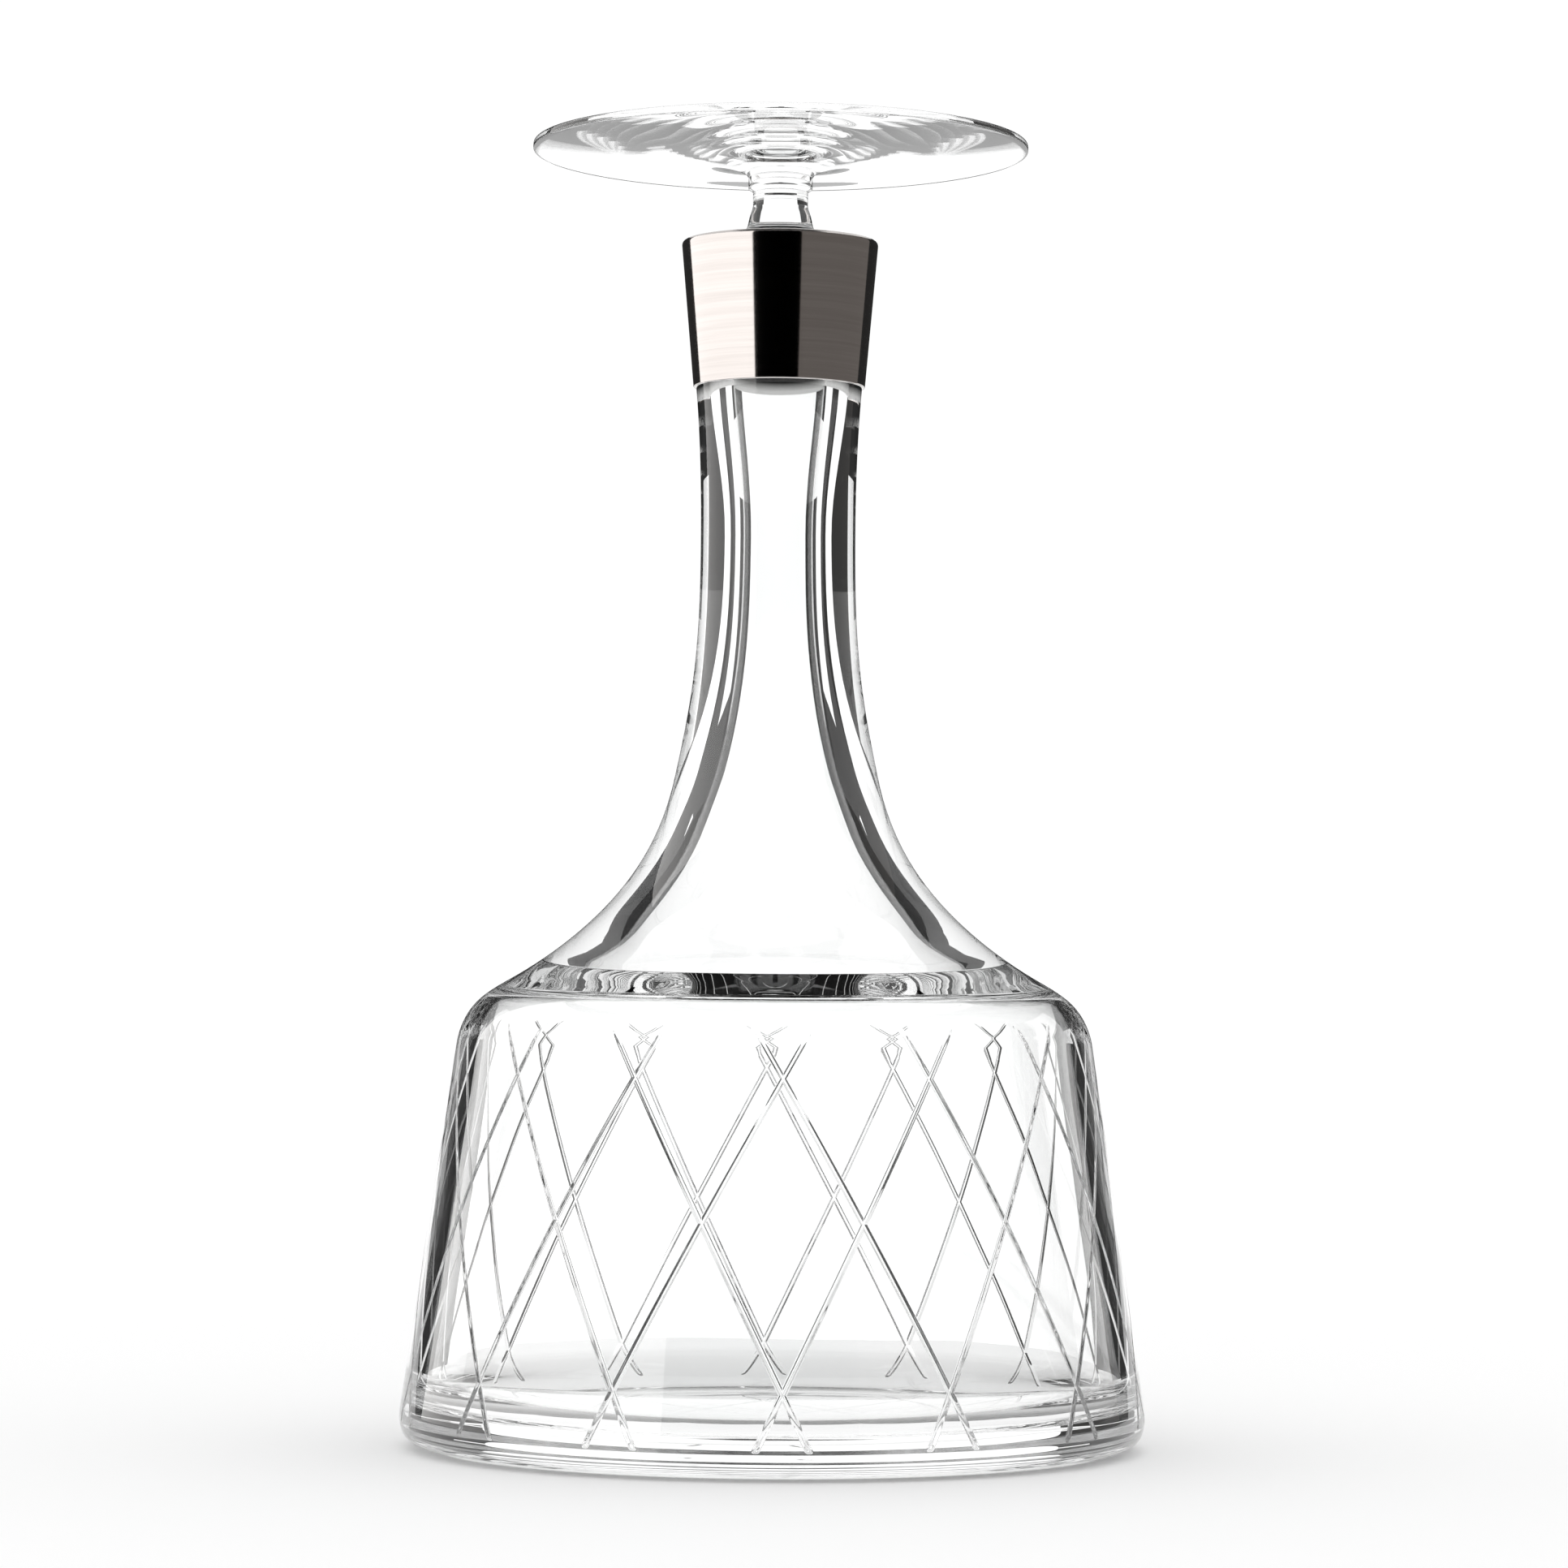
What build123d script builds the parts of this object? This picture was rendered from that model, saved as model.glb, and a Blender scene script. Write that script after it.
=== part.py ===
from build123d import *
import os

os.makedirs("parts", exist_ok=True)

# Wine decanter. Every piece turns about the Z axis, and z = 0 is the table.
# All sizes are in millimetres. A point is (radius, height).

# Vessel, outside: a slightly domed underside inside a flat foot ring, a
# rounded heel, a leaning side wall, a sloped shoulder and a waisted neck.
underside_rise = 1.2
foot_inner_radius = 60.0
foot_radius = 73.5
heel_bulge = (78.6, 2.2)
heel_top = (79.7, 8.4)
side_top = (68.3, 86.0)
shoulder_bulge = (64.7, 94.1)
shoulder = (54.6, 101.1)
shoulder_direction = (-11.5, 7.0)
flare_points = [(40.6, 111.5), (28.8, 125.6)]
neck_bottom = (22.0, 143.1)
neck_bottom_direction = (-1.5, 7.0)
neck_bend = (18.2, 164.1)
waist = (16.7, 196.0)
collar_bottom = (17.95, 227.9)
rim_top = 259.0
rim_radius = 20.72
rim_corner = 0.8

# Vessel, inside: a flat floor, a rounded corner, a wall of even thickness, a
# nearly flat ceiling under the shoulder, a flare that narrows to the bore, and
# a bore that opens out for the plug.
wall = 4.7
floor_height = 7.0
floor_radius = 63.0
floor_corner_top = (74.2, 16.0)
floor_corner_bulge = (71.2, 9.6)
inner_wall_height = 87.5
ceiling_edge = (57.0, 94.9)
ceiling_corner = (45.0, 96.5)
ceiling_corner_radius = 1.2
throat = (43.0, 98.0)
inner_flare_points = [(31.4, 107.7), (23.4, 118.7)]
bore_bottom = (17.2, 132.0)
bore_bottom_direction = (-4.5, 13.0)
bore_bend = (11.1, 153.0)
bore_waist = (7.5, 196.0)
seat_radius = 10.1
seat_bottom = 235.0
mouth_chamfer = 0.8

# Metal neck collar with a lip turned in over the glass rim, and its cement.
collar_thickness = 0.45
cement_thickness = 0.15
lip_radius = seat_radius + mouth_chamfer

# Stopper: a plug with two seal grooves, a small flange that rests on the lip,
# a flared and waisted stem, and a wide thin disc.
seat_gap = 0.02
plug_bottom = 236.6
plug_radius = 9.5
plug_round = 1.4
flange_radius = 12.4
flange_thickness = 0.9
stem_flare = [(7.5, 262.1), (6.65, 265.0)]
waist_radius = 5.95
waist_bottom = 267.6
waist_top = 270.2
ring_radius = 6.95
ring_bottom = 271.2
ring_top = 273.4
disc_hub = (10.5, 275.6)
disc_hub_direction = (4.0, 1.2)
disc_curve = (28.0, 277.7)
disc_radius = 53.6
disc_under_rim = 279.2
disc_top = 280.8

# Clear seal rings, each in its own groove of the plug.
groove_depth = 0.9
groove_height = 2.6
seal_gap = 0.05
seal_bead = 1.0
seal_heights = {"upper_seal_ring": 252.8, "lower_seal_ring": 242.8}


def leaning_wall_radius(height):
    """Outer radius of the leaning side wall at a height."""
    share = (height - heel_top[1]) / (side_top[1] - heel_top[1])
    return heel_top[0] + share * (side_top[0] - heel_top[0])


def collar_seat_radius(height):
    """Radius of the glass under the collar at a height."""
    share = (height - collar_bottom[1]) / (rim_top - collar_bottom[1])
    return collar_bottom[0] + share * (rim_radius - collar_bottom[0])


straight_up = (0, 1)
side_direction = (side_top[0] - heel_top[0], side_top[1] - heel_top[1])
collar_direction = (rim_radius - collar_bottom[0], rim_top - collar_bottom[1])
inner_wall_top = (leaning_wall_radius(inner_wall_height) - wall, inner_wall_height)
ceiling_direction = (ceiling_corner[0] - ceiling_edge[0], ceiling_corner[1] - ceiling_edge[1])
throat_direction = (throat[0] - ceiling_corner[0], throat[1] - ceiling_corner[1])

# ---------------------------------------------------------------- vessel
with BuildPart() as vessel:
    with BuildSketch(Plane.XZ):
        with BuildLine():
            dome_middle = (foot_inner_radius / 2, underside_rise * 0.75)
            ThreePointArc((0, underside_rise), dome_middle, (foot_inner_radius, 0))
            Line((foot_inner_radius, 0), (foot_radius, 0))
            Spline(
                (foot_radius, 0),
                heel_bulge,
                heel_top,
                tangents=[(1, 0), side_direction],
            )
            Line(heel_top, side_top)
            Spline(
                side_top,
                shoulder_bulge,
                shoulder,
                tangents=[side_direction, shoulder_direction],
            )
            Spline(
                shoulder,
                *flare_points,
                neck_bottom,
                tangents=[shoulder_direction, neck_bottom_direction],
            )
            Spline(
                neck_bottom,
                neck_bend,
                waist,
                tangents=[neck_bottom_direction, straight_up],
            )
            Spline(waist, collar_bottom, tangents=[straight_up, collar_direction])
            Polyline(
                collar_bottom,
                (rim_radius, rim_top),
                (0, rim_top),
                (0, underside_rise),
            )
        make_face()
    revolve(axis=Axis.Z)
    outer_rim_edge = vessel.edges().group_by(Axis.Z)[-1]
    fillet(outer_rim_edge, radius=rim_corner)

    with BuildSketch(Plane.XZ):
        with BuildLine():
            Line((0, floor_height), (floor_radius, floor_height))
            Spline(
                (floor_radius, floor_height),
                floor_corner_bulge,
                floor_corner_top,
                tangents=[(1, 0), side_direction],
            )
            Line(floor_corner_top, inner_wall_top)
            Spline(
                inner_wall_top,
                ceiling_edge,
                tangents=[side_direction, ceiling_direction],
            )
            FilletPolyline(
                ceiling_edge,
                ceiling_corner,
                throat,
                radius=ceiling_corner_radius,
            )
            Spline(
                throat,
                *inner_flare_points,
                bore_bottom,
                tangents=[throat_direction, bore_bottom_direction],
            )
            Spline(
                bore_bottom,
                bore_bend,
                bore_waist,
                tangents=[bore_bottom_direction, straight_up],
            )
            Spline(
                bore_waist,
                (seat_radius, seat_bottom),
                tangents=[straight_up, straight_up],
            )
            Polyline(
                (seat_radius, seat_bottom),
                (seat_radius, rim_top - mouth_chamfer),
                (lip_radius, rim_top),
                (0, rim_top),
                (0, floor_height),
            )
        make_face()
    revolve(axis=Axis.Z, mode=Mode.SUBTRACT)
vessel.part.label = "vessel"
export_step(vessel.part, "parts/vessel.step")

# ------------------------------------------------- cement under the collar
with BuildPart() as collar_cement:
    with BuildSketch(Plane.XZ):
        with BuildLine():
            Polyline(
                collar_bottom,
                (rim_radius, rim_top),
                (lip_radius, rim_top),
                (lip_radius, rim_top + cement_thickness),
                (rim_radius + cement_thickness, rim_top + cement_thickness),
                (collar_bottom[0] + cement_thickness, collar_bottom[1]),
                close=True,
            )
        make_face()
    revolve(axis=Axis.Z)
    inner_corner = collar_cement.edges().filter_by(GeomType.CIRCLE).filter_by(
        lambda edge: abs(edge.radius - rim_radius) < 0.01
    )
    outer_corner = collar_cement.edges().filter_by(GeomType.CIRCLE).filter_by(
        lambda edge: abs(edge.radius - rim_radius - cement_thickness) < 0.01
    )
    fillet(inner_corner, radius=rim_corner)
    fillet(outer_corner, radius=rim_corner + cement_thickness)
collar_cement.part.label = "collar_cement"
export_step(collar_cement.part, "parts/collar_cement.step")

# ------------------------------------------------------------- neck collar
collar_inner = cement_thickness
collar_outer = cement_thickness + collar_thickness
with BuildPart() as neck_collar:
    with BuildSketch(Plane.XZ):
        with BuildLine():
            Polyline(
                (collar_bottom[0] + collar_inner, collar_bottom[1]),
                (rim_radius + collar_inner, rim_top + collar_inner),
                (lip_radius, rim_top + collar_inner),
                (lip_radius, rim_top + collar_outer),
                (rim_radius + collar_outer, rim_top + collar_outer),
                (collar_bottom[0] + collar_outer, collar_bottom[1]),
                close=True,
            )
        make_face()
    revolve(axis=Axis.Z)
    inner_corner = neck_collar.edges().filter_by(GeomType.CIRCLE).filter_by(
        lambda edge: abs(edge.radius - rim_radius - collar_inner) < 0.01
    )
    outer_corner = neck_collar.edges().filter_by(GeomType.CIRCLE).filter_by(
        lambda edge: abs(edge.radius - rim_radius - collar_outer) < 0.01
    )
    fillet(inner_corner, radius=rim_corner + collar_inner)
    fillet(outer_corner, radius=rim_corner + collar_outer)
neck_collar.part.label = "neck_collar"
export_step(neck_collar.part, "parts/neck_collar.step")

# ----------------------------------------------------------------- stopper
flange_bottom = rim_top + collar_outer + seat_gap
flange_top = flange_bottom + flange_thickness
with BuildPart() as stopper:
    with BuildSketch(Plane.XZ):
        with BuildLine():
            Polyline(
                (0, plug_bottom),
                (plug_radius, plug_bottom),
                (plug_radius, flange_bottom),
                (flange_radius, flange_bottom),
                (flange_radius, flange_top),
            )
            Spline(
                (flange_radius, flange_top),
                *stem_flare,
                (waist_radius, waist_bottom),
                tangents=[(-1, 0.1), straight_up],
            )
            Line((waist_radius, waist_bottom), (waist_radius, waist_top))
            Spline(
                (waist_radius, waist_top),
                (ring_radius, ring_bottom),
                tangents=[(0, 1), (0.4, 1)],
            )
            Line((ring_radius, ring_bottom), (ring_radius, ring_top))
            Spline(
                (ring_radius, ring_top),
                disc_hub,
                tangents=[(0.25, 1), disc_hub_direction],
            )
            Spline(
                disc_hub,
                disc_curve,
                (disc_radius, disc_under_rim),
                tangents=[disc_hub_direction, (26, 1.2)],
            )
            Polyline(
                (disc_radius, disc_under_rim),
                (disc_radius, disc_top),
                (0, disc_top),
                (0, plug_bottom),
            )
        make_face()
    revolve(axis=Axis.Z)
    plug_end_edge = stopper.edges().group_by(Axis.Z)[0]
    fillet(plug_end_edge, radius=plug_round)
    rim_edges = stopper.edges().filter_by(GeomType.CIRCLE).filter_by(
        lambda edge: abs(edge.radius - disc_radius) < 0.01
    )
    fillet(rim_edges, radius=(disc_top - disc_under_rim) * 0.4)
    for groove_middle in seal_heights.values():
        with BuildSketch(Plane.XZ):
            with Locations((plug_radius, groove_middle)):
                Rectangle(2 * groove_depth, groove_height)
        revolve(axis=Axis.Z, mode=Mode.SUBTRACT)
stopper.part.label = "stopper"
export_step(stopper.part, "parts/stopper.step")

# -------------------------------------------------------------- seal rings
seal_inner_radius = plug_radius - groove_depth + seal_gap
seal_outer_radius = seat_radius - seal_gap
seal_half_height = groove_height / 2 - seal_gap
bead_half_height = seal_bead / 2
for seal_name, seal_middle in seal_heights.items():
    with BuildPart() as seal_ring:
        with BuildSketch(Plane.XZ):
            with BuildLine():
                seal_bottom = seal_middle - seal_half_height
                seal_top = seal_middle + seal_half_height
                Polyline(
                    (plug_radius, seal_middle - bead_half_height),
                    (plug_radius - seal_gap, seal_bottom),
                    (seal_inner_radius, seal_bottom),
                    (seal_inner_radius, seal_top),
                    (plug_radius - seal_gap, seal_top),
                    (plug_radius, seal_middle + bead_half_height),
                )
                ThreePointArc(
                    (plug_radius, seal_middle + bead_half_height),
                    (seal_outer_radius, seal_middle),
                    (plug_radius, seal_middle - bead_half_height),
                )
            make_face()
        revolve(axis=Axis.Z)
    seal_ring.part.label = seal_name
    export_step(seal_ring.part, f"parts/{seal_name}.step")
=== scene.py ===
"""Looks of the wine decanter: cut crystal vessel, metal neck collar and disc-topped stopper."""

import math

import bpy
import numpy as np
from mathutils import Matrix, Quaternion


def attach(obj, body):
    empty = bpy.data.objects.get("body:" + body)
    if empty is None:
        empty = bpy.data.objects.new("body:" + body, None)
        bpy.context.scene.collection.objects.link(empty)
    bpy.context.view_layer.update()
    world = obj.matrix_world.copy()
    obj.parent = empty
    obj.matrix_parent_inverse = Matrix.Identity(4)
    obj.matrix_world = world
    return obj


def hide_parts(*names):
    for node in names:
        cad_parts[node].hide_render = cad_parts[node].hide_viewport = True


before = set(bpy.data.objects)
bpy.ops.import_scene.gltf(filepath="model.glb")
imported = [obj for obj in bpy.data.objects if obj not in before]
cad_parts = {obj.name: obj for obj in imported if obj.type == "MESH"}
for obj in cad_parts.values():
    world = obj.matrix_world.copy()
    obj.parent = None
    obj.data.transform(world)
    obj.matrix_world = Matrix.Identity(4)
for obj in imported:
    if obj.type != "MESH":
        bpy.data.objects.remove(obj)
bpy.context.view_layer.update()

MM = 0.001
TURN = 2 * math.pi

# ------------------------------------------------------------------ outlines
# A point is (radius, height) in millimetres, as in the CAD frame.


def unit(vector):
    """The direction of a vector."""
    vector = np.array(vector, float)
    return vector / np.linalg.norm(vector)


def curve(points, start, end, step=0.05):
    """A smooth line through points that leaves along start and arrives along end."""
    points = np.array(points, float)
    gaps = np.linalg.norm(np.diff(points, axis=0), axis=1)
    count = len(points)
    matrix = np.eye(count)
    slopes = np.zeros((count, 2))
    slopes[0] = unit(start)
    slopes[-1] = unit(end)
    for i in range(1, count - 1):
        before, after = gaps[i - 1], gaps[i]
        matrix[i, i - 1] = after
        matrix[i, i] = 2 * (before + after)
        matrix[i, i + 1] = before
        rise_before = (points[i] - points[i - 1]) / before
        rise_after = (points[i + 1] - points[i]) / after
        slopes[i] = 3 * (after * rise_before + before * rise_after)
    slopes = np.linalg.solve(matrix, slopes)
    line = []
    for i, gap in enumerate(gaps):
        pieces = max(2, int(math.ceil(gap / step)))
        s = np.arange(pieces)[:, None] / pieces
        line.append(
            (2 * s**3 - 3 * s**2 + 1) * points[i]
            + (s**3 - 2 * s**2 + s) * gap * slopes[i]
            + (3 * s**2 - 2 * s**3) * points[i + 1]
            + (s**3 - s**2) * gap * slopes[i + 1]
        )
    line.append(points[-1:])
    return np.concatenate(line)


def rounded(points, radius, steps=6):
    """A run of straight lines with each inner corner rounded."""
    points = [np.array(p, float) for p in points]
    line = [points[0]]
    for before, corner, after in zip(points, points[1:], points[2:]):
        to_before, to_after = unit(before - corner), unit(after - corner)
        half = math.acos(max(-1.0, min(1.0, float(to_before @ to_after)))) / 2
        reach = radius / math.tan(half)
        reach = min(reach, 0.49 * np.linalg.norm(before - corner), 0.49 * np.linalg.norm(after - corner))
        start, end = corner + to_before * reach, corner + to_after * reach
        for s in np.linspace(0, 1, steps):
            line.append((1 - s) ** 2 * start + 2 * s * (1 - s) * corner + s**2 * end)
    line.append(points[-1])
    return np.array(line)


def join(*lines):
    """Outlines end to end, with repeated points dropped."""
    line = np.concatenate([np.array(part, float).reshape(-1, 2) for part in lines])
    kept = [line[0]]
    for point in line[1:]:
        if np.linalg.norm(point - kept[-1]) > 1e-4:
            kept.append(point)
    return np.array(kept)


def spaced(line, step):
    """The same line with no gap longer than step."""
    out = [line[0]]
    for a, b in zip(line, line[1:]):
        pieces = max(1, int(math.ceil(np.linalg.norm(b - a) / step)))
        for k in range(1, pieces + 1):
            out.append(a + (b - a) * k / pieces)
    return np.array(out)


# ----------------------------------------------------------- vessel outlines
OUT = (1, 0)
UP = (0, 1)
FOOT_INNER_RADIUS = 60.0
FOOT_RADIUS = 73.5
HEEL_TOP = (79.7, 8.4)
SIDE_TOP = (68.3, 86.0)
SIDE = (SIDE_TOP[0] - HEEL_TOP[0], SIDE_TOP[1] - HEEL_TOP[1])
SHOULDER = (54.6, 101.1)
SHOULDER_WAY = (-11.5, 7.0)
NECK_BOTTOM = (22.0, 143.1)
NECK_BOTTOM_WAY = (-1.5, 7.0)
WAIST = (16.7, 196.0)
COLLAR_BOTTOM = (17.95, 227.9)
RIM_TOP = 259.0
RIM_RADIUS = 20.72
COLLAR_WAY = (RIM_RADIUS - COLLAR_BOTTOM[0], RIM_TOP - COLLAR_BOTTOM[1])
SEAT_RADIUS = 10.1
LIP_RADIUS = 10.9
WALL = 4.7

foot = curve([(FOOT_INNER_RADIUS, 0.0), (FOOT_RADIUS, 0.0)], OUT, OUT)
heel = curve([(FOOT_RADIUS, 0), (78.6, 2.2), HEEL_TOP], OUT, SIDE)
side = curve([HEEL_TOP, SIDE_TOP], SIDE, SIDE)
shoulder = curve([SIDE_TOP, (64.7, 94.1), SHOULDER], SIDE, SHOULDER_WAY)
flare = curve([SHOULDER, (40.6, 111.5), (28.8, 125.6), NECK_BOTTOM], SHOULDER_WAY, NECK_BOTTOM_WAY)
neck = curve([NECK_BOTTOM, (18.2, 164.1), WAIST], NECK_BOTTOM_WAY, UP)
neck_top = curve([WAIST, COLLAR_BOTTOM], UP, COLLAR_WAY)
rim = rounded([COLLAR_BOTTOM, (RIM_RADIUS, RIM_TOP), (LIP_RADIUS, RIM_TOP)], 0.8)
outside = join(foot, heel, side, shoulder, flare, neck, neck_top, rim)

FLOOR_THICKNESS = 7.0
FLOOR_RADIUS = 63.0
INNER_WALL_BOTTOM = (74.2, 16.0)
INNER_WALL_HEIGHT = 87.5
inner_wall_radius = HEEL_TOP[0] + (INNER_WALL_HEIGHT - HEEL_TOP[1]) / SIDE[1] * SIDE[0] - WALL
inner_wall_top = (inner_wall_radius, INNER_WALL_HEIGHT)
CEILING_EDGE = (57.0, 94.9)
CEILING_CORNER = (45.0, 96.5)
CEILING_WAY = (CEILING_CORNER[0] - CEILING_EDGE[0], CEILING_CORNER[1] - CEILING_EDGE[1])
THROAT = (43.0, 98.0)
THROAT_WAY = (THROAT[0] - CEILING_CORNER[0], THROAT[1] - CEILING_CORNER[1])
BORE_BOTTOM = (17.2, 132.0)
BORE_BOTTOM_WAY = (-4.5, 13.0)
BORE_WAIST = (7.5, 196.0)
SEAT_BOTTOM = (SEAT_RADIUS, 235.0)
floor_line = curve([(0.0, FLOOR_THICKNESS), (FLOOR_RADIUS, FLOOR_THICKNESS)], OUT, OUT)
corner = curve([(FLOOR_RADIUS, FLOOR_THICKNESS), (71.2, 9.6), INNER_WALL_BOTTOM], OUT, SIDE)
inner_wall = curve([INNER_WALL_BOTTOM, inner_wall_top], SIDE, SIDE)
ceiling_bend = curve([inner_wall_top, CEILING_EDGE], SIDE, CEILING_WAY)
ceiling = rounded([CEILING_EDGE, CEILING_CORNER, THROAT], 1.2, 12)
inner_flare = curve([THROAT, (31.4, 107.7), (23.4, 118.7), BORE_BOTTOM], THROAT_WAY, BORE_BOTTOM_WAY)
bore = curve([BORE_BOTTOM, (11.1, 153.0), BORE_WAIST], BORE_BOTTOM_WAY, UP)
bore_top = curve([BORE_WAIST, SEAT_BOTTOM], UP, UP)
mouth = rounded([SEAT_BOTTOM, (SEAT_RADIUS, RIM_TOP - 0.8), (LIP_RADIUS, RIM_TOP)], 0.3)
inside = join(floor_line, corner, inner_wall, ceiling_bend, ceiling, inner_flare, bore, bore_top, mouth)
underside = curve([(0, 1.2), (30.0, 0.9), (FOOT_INNER_RADIUS, 0.0)], OUT, (1, -0.04))


def outline_normals(line):
    """Unit normals to the left of travel along an outline, one for each point."""
    steps = np.diff(line, axis=0)
    steps /= np.linalg.norm(steps, axis=1)[:, None]
    ways = np.concatenate([steps[:1], steps[:-1] + steps[1:], steps[-1:]])
    ways /= np.linalg.norm(ways, axis=1)[:, None]
    return np.stack([ways[:, 1], -ways[:, 0]], axis=1)


def rows(line, longest, bend=3.0):
    """Places for rows of points on a fine outline: gaps up to longest, and turns of about bend degrees."""
    steps = np.diff(line, axis=0)
    lengths = np.linalg.norm(steps, axis=1)
    ways = np.unwrap(np.arctan2(steps[:, 1], steps[:, 0]))
    kept, run, way = [0], 0.0, ways[0]
    for k in range(1, len(line) - 1):
        run += lengths[k - 1]
        if run + lengths[k] > longest or abs(ways[k] - way) > math.radians(bend):
            kept.append(k)
            run, way = 0.0, ways[k]
    return kept + [len(line) - 1]


# -------------------------------------------------------------- turned pieces
TURNED_COLUMNS = 240
TURNED_ROW = 2.0


def new_piece(name, points, faces, normals, material, body, node):
    """A smooth mesh object with its own normals that rides on a body and stands for a CAD node."""
    mesh = bpy.data.meshes.new(name)
    mesh.from_pydata((np.array(points) * MM).tolist(), [], faces)
    mesh.validate()
    mesh.shade_smooth()
    mesh.normals_split_custom_set_from_vertices(np.array(normals).tolist())
    mesh.materials.append(material)
    piece = bpy.data.objects.new(name, mesh)
    bpy.context.scene.collection.objects.link(piece)
    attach(piece, body)
    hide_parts(node)


def turned(line, columns=TURNED_COLUMNS, longest=TURNED_ROW, ways=None):
    """Points, faces, normals and rings of an outline turned about Z, with its left side as the outside."""
    ways = outline_normals(line) if ways is None else ways
    kept = rows(line, longest)
    angles = TURN * np.arange(columns) / columns
    points, normals, rings = [], [], []
    for (radius, height), (out, up) in zip(line[kept], ways[kept]):
        if radius < 1e-6:
            rings.append([len(points)])
            points.append((0, 0, height))
            normals.append((0, 0, math.copysign(1, up)))
            continue
        rings.append(list(range(len(points), len(points) + columns)))
        for angle in angles:
            right, back = math.sin(angle), -math.cos(angle)
            points.append((radius * right, radius * back, height))
            normals.append((out * right, out * back, up))
    faces = []
    for low, high in zip(rings, rings[1:]):
        for k in range(columns):
            n = (k + 1) % columns
            if len(low) == 1:
                faces.append((low[0], high[n], high[k]))
            elif len(high) == 1:
                faces.append((low[k], low[n], high[0]))
            else:
                faces.append((low[k], low[n], high[n], high[k]))
    return points, faces, normals, rings


# ------------------------------------------------------------- cut grooves
# Two mirrored families of straight cuts run round the leaning side. A straight
# cut keeps radius * sin(lean) the same all along it, which CUT_REACH is.
CUTS = 14
CUT_PITCH = TURN / CUTS
CUT_REACH = 34.0
CUT_PHASE = math.radians(1.5)
CROSSING_HEIGHT = 17.1
CUT_HALF_WIDTH = 0.8
CUT_DEPTH = 0.5
CUT_LOW = 5.6
CUT_HIGH = 91.0
CUT_FADE_LOW = 1.6
CUT_FADE_HIGH = 6.0
LATTICE_LOW = 5.2
LATTICE_HIGH = 91.2
FINE_ROWS = [*np.arange(5.6, 8.6, 0.4).tolist(), *np.arange(86.2, 91.0, 0.6).tolist()]
# Lines of points on each side of a groove's middle, as shares of its half width.
ACROSS_CUT = (0.1, 0.28, 0.46, 0.62, 0.76, 0.88, 1.0, 1.12)
CLEAR_OF_CUT = 1.5
LINES_BETWEEN_CUTS = 10
ANGLE_STEP = 2e-5

vessel_ways = outline_normals(outside)
cut_first = int(np.argmax(outside[:, 1] > 0.5))
cut_last = int(np.argmax(outside[:, 1] > 100.0))
cut_line, cut_ways = outside[cut_first:cut_last], vessel_ways[cut_first:cut_last]
cut_length = np.concatenate([[0], np.cumsum(np.linalg.norm(np.diff(cut_line, axis=0), axis=1))])
cut_rate = CUT_REACH / (cut_line[:, 0] * np.sqrt(cut_line[:, 0] ** 2 - CUT_REACH**2))
cut_shift = np.concatenate([[0], np.cumsum((cut_rate[1:] + cut_rate[:-1]) / 2 * np.diff(cut_length))])
crossing_radius = np.interp(CROSSING_HEIGHT, cut_line[:, 1], cut_line[:, 0])
cut_shift -= np.interp(CROSSING_HEIGHT, cut_line[:, 1], cut_shift)
# The groove is as wide in angle all along, and is this wide at the crossing row.
CUT_HALF_ANGLE = CUT_HALF_WIDTH / math.sqrt(crossing_radius**2 - CUT_REACH**2)


def groove_depth(offset, fade):
    """Depth of one groove at an angle from its middle."""
    share = np.clip(np.abs(offset) / CUT_HALF_ANGLE, 0, 1)
    return CUT_DEPTH * fade * (0.5 + 0.5 * np.cos(math.pi * share**1.15))


def cut_surface(angle, shift):
    """Point of the cut side wall at an angle round the axis and a shift along the cuts."""
    radius = np.interp(shift, cut_shift, cut_line[:, 0])
    height = np.interp(shift, cut_shift, cut_line[:, 1])
    out = np.interp(shift, cut_shift, cut_ways[:, 0])
    up = np.interp(shift, cut_shift, cut_ways[:, 1])
    fade_low = np.clip((height - CUT_LOW) / CUT_FADE_LOW, 0, 1)
    fade_high = np.clip((CUT_HIGH - height) / CUT_FADE_HIGH, 0, 1)
    fade = fade_low * fade_high
    fade = fade * fade * (3 - 2 * fade)
    depth = 0
    for way in (1, -1):
        offset = (angle + way * shift - CUT_PHASE + CUT_PITCH / 2) % CUT_PITCH - CUT_PITCH / 2
        depth = np.maximum(depth, groove_depth(offset, fade))
    radius = radius - depth * out
    height = height - depth * up
    return np.stack([radius * np.sin(angle), -radius * np.cos(angle), height], axis=-1)


def split(cells, spots, limit):
    """Cells below and above a shift, cut along it, and the ring of points between, which go into spots."""
    made, below, above = {}, [], []

    def crossing(a, b):
        key = frozenset((a, b))
        if key not in made:
            (angle_a, shift_a), (angle_b, shift_b) = spots[a], spots[b]
            angle_b += TURN * round((angle_a - angle_b) / TURN)
            share = (limit - shift_a) / (shift_b - shift_a)
            made[key] = len(spots)
            spots.append((angle_a + share * (angle_b - angle_a), limit))
        return made[key]

    for cell in cells:
        high = [spots[k][1] > limit for k in cell]
        if not any(high):
            below.append(cell)
        elif all(high):
            above.append(cell)
        else:
            parts = {True: [], False: []}
            for a, b, a_high, b_high in zip(cell, cell[1:] + cell[:1], high, high[1:] + high[:1]):
                parts[a_high].append(a)
                if a_high != b_high:
                    middle = crossing(a, b)
                    parts[True].append(middle)
                    parts[False].append(middle)
            below.append(tuple(parts[False]))
            above.append(tuple(parts[True]))
    ring = sorted(made.values(), key=lambda k: spots[k][0] % TURN)
    return below, above, ring


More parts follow.
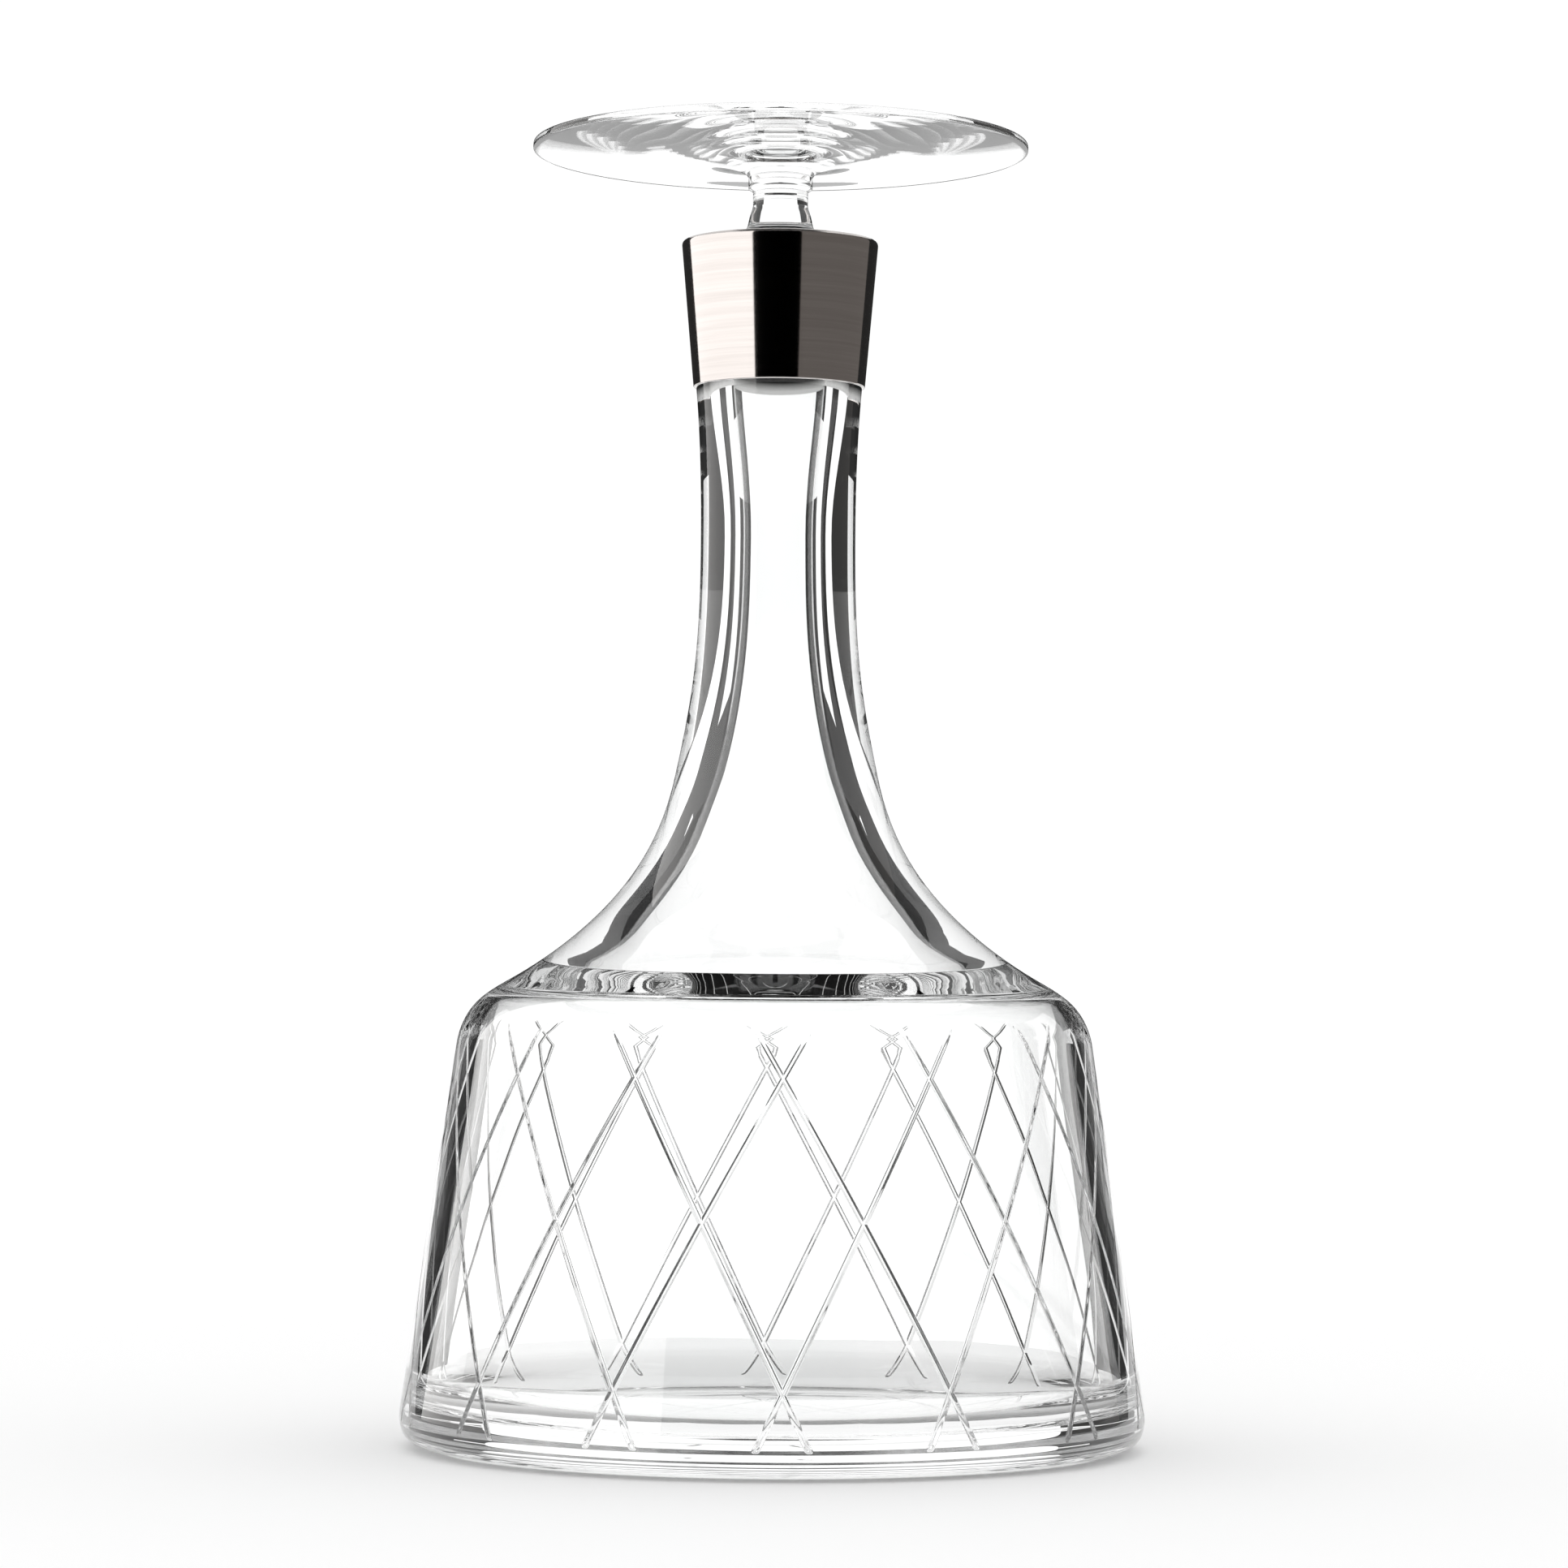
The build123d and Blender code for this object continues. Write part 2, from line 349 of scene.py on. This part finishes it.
def cut_wall():
    """The cut wall as points, faces and normals, its bottom and top rings, and the angle of each point."""
    across = np.array(ACROSS_CUT) * CUT_HALF_ANGLE
    edge = CLEAR_OF_CUT * CUT_HALF_ANGLE
    between = np.linspace(edge, CUT_PITCH - edge, LINES_BETWEEN_CUTS)
    one = np.concatenate([-across[::-1], across, between])
    lines = np.concatenate([one + k * CUT_PITCH for k in range(CUTS)]) + CUT_PHASE
    total = len(lines)
    lowest, highest = np.interp([LATTICE_LOW, LATTICE_HIGH], cut_line[:, 1], cut_shift)
    margin = CUT_PITCH / 10

    def line_at(i):
        return lines[i % total] + TURN * (i // total)

    index, spots, corners = {}, [], []
    for j in range(total):
        i = j - total
        while (line_at(i) - line_at(j)) / 2 < lowest - margin:
            i += 1
        while (line_at(i) - line_at(j)) / 2 <= highest + margin:
            index[i - j, j] = len(spots)
            spots.append(((line_at(i) + line_at(j)) / 2, (line_at(i) - line_at(j)) / 2))
            corners.append((i, j))
            i += 1
    cells = []
    for i, j in corners:
        around = ((i, j), (i, j + 1), (i + 1, j + 1), (i + 1, j))
        cell = [index.get((a - b, b % total)) for a, b in around]
        if None not in cell:
            cells.append(tuple(cell))
    _, cells, bottom = split(cells, spots, lowest)
    cells, _, top = split(cells, spots, highest)
    for height in FINE_ROWS:
        limit = float(np.interp(height, cut_line[:, 1], cut_shift))
        below, above, _ = split(cells, spots, limit)
        cells = below + above
    used = sorted({k for cell in cells for k in cell})
    place = {k: n for n, k in enumerate(used)}
    faces = [tuple(place[k] for k in cell) for cell in cells]
    spots = np.array(spots)[used]
    points = cut_surface(spots[:, 0], spots[:, 1])
    angle, shift, step = spots[:, 0], spots[:, 1], ANGLE_STEP
    along = cut_surface(angle + step, shift) - cut_surface(angle - step, shift)
    rise = cut_surface(angle, shift + step) - cut_surface(angle, shift - step)
    normals = np.cross(along, rise)
    normals /= np.linalg.norm(normals, axis=1)[:, None]
    return points, faces, normals, [place[k] for k in bottom], [place[k] for k in top], spots[:, 0] % TURN


def zip_rings(low, low_angles, high, high_angles):
    """Triangles between two rings of points, each in order of angle."""
    faces = []
    i = j = 0
    while i < len(low) or j < len(high):
        next_low = low_angles[(i + 1) % len(low)] + TURN * ((i + 1) // len(low))
        next_high = high_angles[(j + 1) % len(high)] + TURN * ((j + 1) // len(high))
        a, b = low[i % len(low)], high[j % len(high)]
        if j >= len(high) or (i < len(low) and next_low <= next_high):
            faces.append((a, low[(i + 1) % len(low)], b))
            i += 1
        else:
            faces.append((a, high[(j + 1) % len(high)], b))
            j += 1
    return faces


VESSEL_COLUMNS = 216
# Outline points between the edge of the domed underside and the first ring of the foot.
FOOT_START = 20
# Between the cut wall and the turned surfaces above and below it.
SEWING_GAP = 0.1


def build_vessel(material):
    """The vessel: the cut side wall sewn into turned surfaces."""
    below = int(np.argmax(outside[:, 1] > LATTICE_LOW - SEWING_GAP))
    above = int(np.argmax(outside[:, 1] > LATTICE_HIGH + SEWING_GAP))
    wall_points, wall_faces, wall_normals, wall_bottom, wall_top, wall_angles = cut_wall()
    # The foot and the inside start past the point that they share with their neighbour.
    parts = [
        (wall_points, wall_faces, wall_normals, None),
        turned(underside, VESSEL_COLUMNS, 6.0),
        turned(outside[FOOT_START:below], VESSEL_COLUMNS, 1.0, vessel_ways[FOOT_START:below]),
        turned(outside[above:], VESSEL_COLUMNS, 2.4, vessel_ways[above:]),
        turned(inside[-2::-1], VESSEL_COLUMNS, 4.0),
    ]
    starts = np.cumsum([0] + [len(part[0]) for part in parts])
    faces = [
        tuple(int(start) + k for k in face) for start, part in zip(starts, parts) for face in part[1]
    ]
    under, heel_part, upper, inner = [
        [[int(start) + k for k in ring] for ring in part[3]]
        for start, part in zip(starts[1:], parts[1:])
    ]
    angles = TURN * np.arange(VESSEL_COLUMNS) / VESSEL_COLUMNS
    faces += zip_rings(under[-1], angles, heel_part[0], angles)
    faces += zip_rings(heel_part[-1], angles, wall_bottom, wall_angles[wall_bottom])
    faces += zip_rings(wall_top, wall_angles[wall_top], upper[0], angles)
    faces += zip_rings(upper[-1], angles, inner[0], angles)
    points = np.concatenate([part[0] for part in parts])
    normals = np.concatenate([part[2] for part in parts])
    new_piece("crystal_vessel", points, faces, normals, material, "glass_body", "vessel")


# --------------------------------------------------------------- stopper etc.
FLANGE_BOTTOM = 259.62
FLANGE_RADIUS = 12.4
PLUG_RADIUS = 9.5
STEM_WAIST = 5.95
DISC_RADIUS = 53.6
DISC_TOP = 280.8
DISC_UNDER_RIM = 279.2
DISC_HUB = (10.5, 275.6)
DISC_HUB_WAY = (4.0, 1.2)
PLUG_BOTTOM = 236.6
SEAL_HEIGHTS = (242.8, 252.8)
SEAL_HALF_HEIGHT = 1.3
SEAL_GROOVE_DEPTH = 0.9
FLANGE_TOP = 260.52
CEMENT_THICKNESS = 0.15
METAL_THICKNESS = 0.45


def stopper_outline():
    """The stopper, from the bottom of the plug up to the middle of the disc."""
    grooves = []
    for middle in SEAL_HEIGHTS:
        grooves += [
            (PLUG_RADIUS, middle - SEAL_HALF_HEIGHT),
            (PLUG_RADIUS - SEAL_GROOVE_DEPTH, middle - SEAL_HALF_HEIGHT),
            (PLUG_RADIUS - SEAL_GROOVE_DEPTH, middle + SEAL_HALF_HEIGHT),
            (PLUG_RADIUS, middle + SEAL_HALF_HEIGHT),
        ]
    flange_edge = (FLANGE_RADIUS, FLANGE_TOP)
    bottom = rounded([(0, PLUG_BOTTOM), (PLUG_RADIUS, PLUG_BOTTOM), grooves[0]], 1.4, 10)
    plug = rounded([*grooves, (PLUG_RADIUS, FLANGE_BOTTOM), (FLANGE_RADIUS, FLANGE_BOTTOM)], 0.15, 4)
    edge = [(FLANGE_RADIUS, FLANGE_BOTTOM), flange_edge]
    stem = curve([flange_edge, (7.5, 262.1), (6.65, 265.0), (STEM_WAIST, 267.6)], (-1, 0.1), UP, 0.25)
    ring = curve([(STEM_WAIST, 270.2), (6.95, 271.2)], UP, (0.4, 1), 0.2)
    hub = curve([(6.95, 273.4), DISC_HUB], (0.25, 1), DISC_HUB_WAY, 0.25)
    under_rim = (DISC_RADIUS - 0.6, DISC_UNDER_RIM)
    top_rim = (DISC_RADIUS - 1.5, DISC_TOP)
    under = curve([DISC_HUB, (28.0, 277.7), under_rim], DISC_HUB_WAY, (26, 1.2), 0.5)
    rim_edge = rounded([under_rim, (DISC_RADIUS, DISC_UNDER_RIM), (DISC_RADIUS, DISC_TOP), top_rim], 0.64, 8)
    top = spaced(np.array([top_rim, (0.0, DISC_TOP)]), TURNED_ROW)
    return join(bottom, plug, edge, stem, ring, hub, under, rim_edge, top)


def build_stopper(material):
    """The solid crystal stopper."""
    points, faces, normals, _ = turned(stopper_outline())
    new_piece("crystal_stopper", points, faces, normals, material, "stopper_body", "stopper")


def build_collar(material):
    """The metal sleeve with its turned-in lip."""
    inner_gap, outer_gap = CEMENT_THICKNESS, CEMENT_THICKNESS + METAL_THICKNESS
    outer = rounded([
        (COLLAR_BOTTOM[0] + inner_gap, COLLAR_BOTTOM[1]),
        (COLLAR_BOTTOM[0] + outer_gap, COLLAR_BOTTOM[1]),
        (RIM_RADIUS + outer_gap, RIM_TOP + outer_gap),
        (LIP_RADIUS, RIM_TOP + outer_gap),
    ], 1.0, 10)
    inner = rounded([
        (LIP_RADIUS, RIM_TOP + outer_gap),
        (LIP_RADIUS, RIM_TOP + inner_gap),
        (RIM_RADIUS + inner_gap, RIM_TOP + inner_gap),
        (COLLAR_BOTTOM[0] + inner_gap, COLLAR_BOTTOM[1]),
    ], 0.15, 4)
    points, faces, normals, _ = turned(join(outer, inner))
    new_piece("metal_collar", points, faces, normals, material, "glass_body", "neck_collar")


# ----------------------------------------------------------------- materials


class Nodes:
    """A new material with its Principled shader, and a short way to add nodes to it."""

    def __init__(self, name):
        self.material = bpy.data.materials.new(name)
        self.material.use_nodes = True
        self.tree = self.material.node_tree
        self.shader = self.tree.nodes["Principled BSDF"]
        self.output = self.tree.nodes["Material Output"]

    def add(self, kind, inputs=None, **settings):
        """A node with its settings and inputs. An input is a value or another node's socket."""
        node = self.tree.nodes.new(kind)
        for key, value in settings.items():
            setattr(node, key, value)
        for key, value in (inputs or {}).items():
            self.set(node.inputs[key], value)
        return node

    def set(self, socket, value):
        """Sets or links one input."""
        if isinstance(value, bpy.types.NodeSocket):
            self.tree.links.new(value, socket)
        else:
            socket.default_value = value

    def shade(self, **inputs):
        """Sets the Principled shader's inputs. An underscore in a name is a space."""
        for key, value in inputs.items():
            self.set(self.shader.inputs[key.replace("_", " ")], value)
        return self.material

    def math(self, operation, *values):
        """The result of a Math node."""
        node = self.add("ShaderNodeMath", operation=operation)
        for socket, value in zip(node.inputs, values):
            self.set(socket, value)
        return node.outputs[0]

    def place(self):
        """The surface's own coordinates, in metres."""
        return self.add("ShaderNodeTexCoord").outputs["Object"]

    def noise(self, vector, scale, detail=2.0, roughness=0.5):
        """Values of a noise texture."""
        node = self.add("ShaderNodeTexNoise", {"Vector": vector, "Scale": scale, "Detail": detail,
                                               "Roughness": roughness})
        return node.outputs["Fac"]

    def ramp(self, factor, *stops):
        """A colour ramp through (position, colour) stops."""
        node = self.add("ShaderNodeValToRGB", {"Fac": factor})
        elements = node.color_ramp.elements
        while len(elements) < len(stops):
            elements.new(0.5)
        for element, (position, colour) in zip(elements, stops):
            element.position = position
            element.color = (*colour, 1)
        return node.outputs["Color"]

    def bump(self, height, strength, distance):
        """A normal bent by a height, in metres."""
        node = self.add("ShaderNodeBump", {"Height": height, "Strength": strength, "Distance": distance})
        return node.outputs["Normal"]


def crystal():
    """Clear lead-free crystal with faint cords of uneven glass."""
    m = Nodes("crystal")
    cords = m.noise(m.place(), 28.0, 1.0)
    tint = m.ramp(cords, (0.3, (0.985, 0.992, 0.990)), (0.7, (1.0, 1.0, 1.0)))
    return m.shade(
        Base_Color=tint,
        Roughness=0.0,
        IOR=1.53,
        Transmission_Weight=1.0,
        Normal=m.bump(cords, 0.25, 0.0006),
    )


def collar_metal():
    """Dark silver metal, finely brushed round the neck."""
    m = Nodes("dark_silver")
    place = m.place()
    fine_place = m.add("ShaderNodeMapping", {"Vector": place, "Scale": (6.0, 6.0, 1400.0)})
    brush = m.noise(fine_place.outputs[0], 1.0, 3.0, 0.6)
    wide_place = m.add("ShaderNodeMapping", {"Vector": place, "Scale": (8.0, 8.0, 700.0)})
    streaks = m.noise(wide_place.outputs[0], 1.0, 4.0, 0.7)
    tone = m.ramp(streaks, (0.3, (0.475, 0.445, 0.43)), (0.7, (0.575, 0.545, 0.53)))
    rough = m.add("ShaderNodeMapRange", {"Value": brush, "To Min": 0.05, "To Max": 0.11}).outputs[0]
    return m.shade(
        Base_Color=tone,
        Metallic=1.0,
        Roughness=rough,
        Normal=m.bump(brush, 0.35, 0.00002),
    )


# Where the cement's painted glow ends and its painted shade starts, as heights in metres.
CEMENT_PAINTED_GLOW_TO = 0.2286
CEMENT_PAINTED_SHADE_FROM = 0.231


def cement():
    """Cement under the collar: pale with a painted glow along its bottom edge, standing in for light that
    passes through it, and near black above as painted shade under the collar.
    """
    m = Nodes("cement")
    place = m.place()
    grain = m.noise(place, 900.0, 2.0)
    height = m.add("ShaderNodeSeparateXYZ", {"Vector": place}).outputs["Z"]
    edge_range = {"Value": height, "From Min": CEMENT_PAINTED_GLOW_TO, "From Max": CEMENT_PAINTED_SHADE_FROM}
    glow_to_shade = m.add("ShaderNodeMapRange", edge_range).outputs[0]
    depth = m.math("ADD", glow_to_shade, m.math("MULTIPLY", grain, 0.05))
    # Painted light and shade: the pale bottom edge glows in place of light coming through, and the
    # near-black part above is painted shade under the collar.
    tone = m.ramp(depth, (0.0, (0.97, 0.97, 0.96)), (1.0, (0.012, 0.012, 0.012)))
    return m.shade(
        Base_Color=tone,
        Roughness=0.4,
        # The emission is a painted glow, not a lamp.
        Emission_Color=tone,
        Emission_Strength=0.4,
        Normal=m.bump(grain, 0.1, 0.00002),
    )


def silicone():
    """Clear soft silicone of the seal rings."""
    m = Nodes("clear_silicone")
    haze = m.noise(m.place(), 400.0, 2.0)
    tone = m.ramp(haze, (0.3, (0.86, 0.87, 0.86)), (0.7, (0.95, 0.95, 0.94)))
    return m.shade(Base_Color=tone, Roughness=0.3, IOR=1.41, Transmission_Weight=0.7,
                   Normal=m.bump(haze, 0.2, 0.0001))


def matt_floor():
    """The plain pale floor, with no gloss."""
    m = Nodes("pale_floor")
    return m.shade(Base_Color=(0.97, 0.97, 0.97, 1), Roughness=0.8, Specular_IOR_Level=0.0)


glass = crystal()
build_vessel(glass)
build_stopper(glass)
build_collar(collar_metal())
carried_over = {
    "collar_cement": cement(),
    "upper_seal_ring": silicone(),
    "lower_seal_ring": silicone(),
}
for node, material in carried_over.items():
    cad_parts[node].material_slots[0].material = material

# -------------------------------------------------------------------- camera
CAMERA_DISTANCE = 1.080
CAMERA_HEIGHT = 0.0994
CAMERA_YAW = -0.087
CAMERA_TILT = 2.264
CAMERA_ROLL = 0.4
camera_data = bpy.data.cameras.new("camera")
camera_data.sensor_width = 36.0
camera_data.lens = 115.0
camera = bpy.data.objects.new("camera", camera_data)
camera.location = (0, -CAMERA_DISTANCE, CAMERA_HEIGHT)
camera.rotation_mode = "QUATERNION"
camera.rotation_quaternion = (
    Quaternion((0, 0, 1), math.radians(CAMERA_YAW))
    @ Quaternion((1, 0, 0), math.radians(90 + CAMERA_TILT))
    @ Quaternion((0, 0, 1), math.radians(CAMERA_ROLL))
)
bpy.context.scene.collection.objects.link(camera)
bpy.context.scene.camera = camera

# --------------------------------------------------------------------- stage
# The decanter stands on a turntable in front of a fixed camera and studio, so
# the cards turn about the Z axis with the camera.
studio = bpy.data.objects.new("studio", None)
bpy.context.scene.collection.objects.link(studio)
facing = studio.constraints.new("LOCKED_TRACK")
facing.target = camera
facing.track_axis = "TRACK_NEGATIVE_Y"
facing.lock_axis = "LOCK_Z"

FLOOR_HALF = 8.0
FLOOR_DROP = 0.0004
DIM_ROOM = 0.03
BRIGHT_ROOM = 1.04
# How far behind the decanter the back card stands, and half its width.
BACK_CARD = (0.34, 0.18)
# Radii of the curved cards.
NEAR, UPPER, FAR, ROUND_REFLECTIONS = 0.25, 0.3, 0.6, 0.7
LOW_HEIGHTS = (0.0, 0.3)
UPPER_HEIGHTS = (0.4, 0.8)
FULL_HEIGHTS = (0.0, 0.8)
UNDER_FOOT = 0.073


def card(name, line, heights, light, seen_in, colour=(1, 1, 1)):
    """A card seen only in the glass or only in reflections, through (x, y) points in metres.

    It stands upright between two heights, or lies flat inside a closed line where they are the same.
    """
    if heights[0] == heights[1]:
        points = [(x, y, heights[0]) for x, y in line[:-1]]
        faces = [tuple(range(len(points)))]
    else:
        points = [(x, y, height) for x, y in line for height in heights]
        faces = [(2 * k, 2 * k + 2, 2 * k + 3, 2 * k + 1) for k in range(len(line) - 1)]
    mesh = bpy.data.meshes.new(name)
    mesh.from_pydata(points, [], faces)
    m = Nodes(name)
    glow = m.add("ShaderNodeEmission", {"Color": (*colour, 1), "Strength": light})
    m.tree.links.new(glow.outputs[0], m.output.inputs["Surface"])
    mesh.materials.append(m.material)
    piece = bpy.data.objects.new(name, mesh)
    bpy.context.scene.collection.objects.link(piece)
    piece.parent = studio
    piece.visible_camera = False
    piece.visible_diffuse = False
    piece.visible_shadow = False
    piece.visible_glossy = seen_in == "reflections"
    piece.visible_transmission = seen_in == "glass"


def arc(azimuths, radius):
    """Points on a circle round the decanter. Azimuth 0 is towards the camera and 90 is to the right."""
    start, end = (math.radians(a) for a in azimuths)
    return [(radius * math.sin(a), -radius * math.cos(a)) for a in np.linspace(start, end, 25).tolist()]


def build_stage():
    """Pale floor, soft light from all round, and the cards that the glass and the metal show."""
    mesh = bpy.data.meshes.new("floor")
    half = FLOOR_HALF
    corners = [(-half, -half, 0), (half, -half, 0), (half, half, 0), (-half, half, 0)]
    mesh.from_pydata(corners, [], [(0, 1, 2, 3)])
    mesh.materials.append(matt_floor())
    floor = bpy.data.objects.new("floor", mesh)
    floor.location.z = -FLOOR_DROP
    bpy.context.scene.collection.objects.link(floor)

    # The camera and matt surfaces see a white room. Gloss and glass see a dim one with cards in it.
    world = bpy.data.worlds.new("studio")
    world.use_nodes = True
    tree = world.node_tree
    path = tree.nodes.new("ShaderNodeLightPath")
    lit = tree.nodes.new("ShaderNodeMath")
    lit.operation = "MAXIMUM"
    tree.links.new(path.outputs["Is Camera Ray"], lit.inputs[0])
    tree.links.new(path.outputs["Diffuse Depth"], lit.inputs[1])
    strength = tree.nodes.new("ShaderNodeMapRange")
    strength.inputs["To Min"].default_value = DIM_ROOM
    strength.inputs["To Max"].default_value = BRIGHT_ROOM
    tree.links.new(lit.outputs[0], strength.inputs["Value"])
    background = tree.nodes["Background"]
    background.inputs["Color"].default_value = (1, 1, 1, 1)
    tree.links.new(strength.outputs[0], background.inputs["Strength"])
    bpy.context.scene.world = world

    back, half = BACK_CARD
    card("back_card", [(-half, back), (half, back)], (0.0, 0.7), 1.2, "glass")
    card("left_gap", arc((-150, -128), NEAR), LOW_HEIGHTS, 0.03, "glass")
    card("right_gap", arc((128, 150), NEAR), LOW_HEIGHTS, 0.03, "glass")
    card("left_strip", arc((-130, -110), FAR), LOW_HEIGHTS, 1.1, "glass")
    card("right_strip", arc((110, 130), FAR), LOW_HEIGHTS, 1.1, "glass")
    card("left_upper", arc((-175, -60), UPPER), UPPER_HEIGHTS, 1.1, "glass")
    card("right_upper", arc((60, 175), UPPER), UPPER_HEIGHTS, 1.1, "glass")
    card("base_card", arc((-180, 180), UNDER_FOOT), (-FLOOR_DROP / 2, -FLOOR_DROP / 2), 1.0, "glass")
    warm_white, warm_grey = (1.0, 0.985, 0.97), (1.0, 0.93, 0.88)
    card("left_softbox", arc((-130, -32), ROUND_REFLECTIONS), FULL_HEIGHTS, 1.9, "reflections", warm_white)
    card("right_dim", arc((25, 128), ROUND_REFLECTIONS), FULL_HEIGHTS, 0.2, "reflections", warm_grey)
    card("front_flag", arc((-32, 25), ROUND_REFLECTIONS), FULL_HEIGHTS, 0.0, "reflections")


build_stage()

scene = bpy.context.scene
scene.view_settings.view_transform = "Standard"
# Light makes many turns inside thick glass before it leaves.
scene.cycles.max_bounces = 96
scene.cycles.transmission_bounces = 48
scene.cycles.glossy_bounces = 28
scene.cycles.transparent_max_bounces = 16
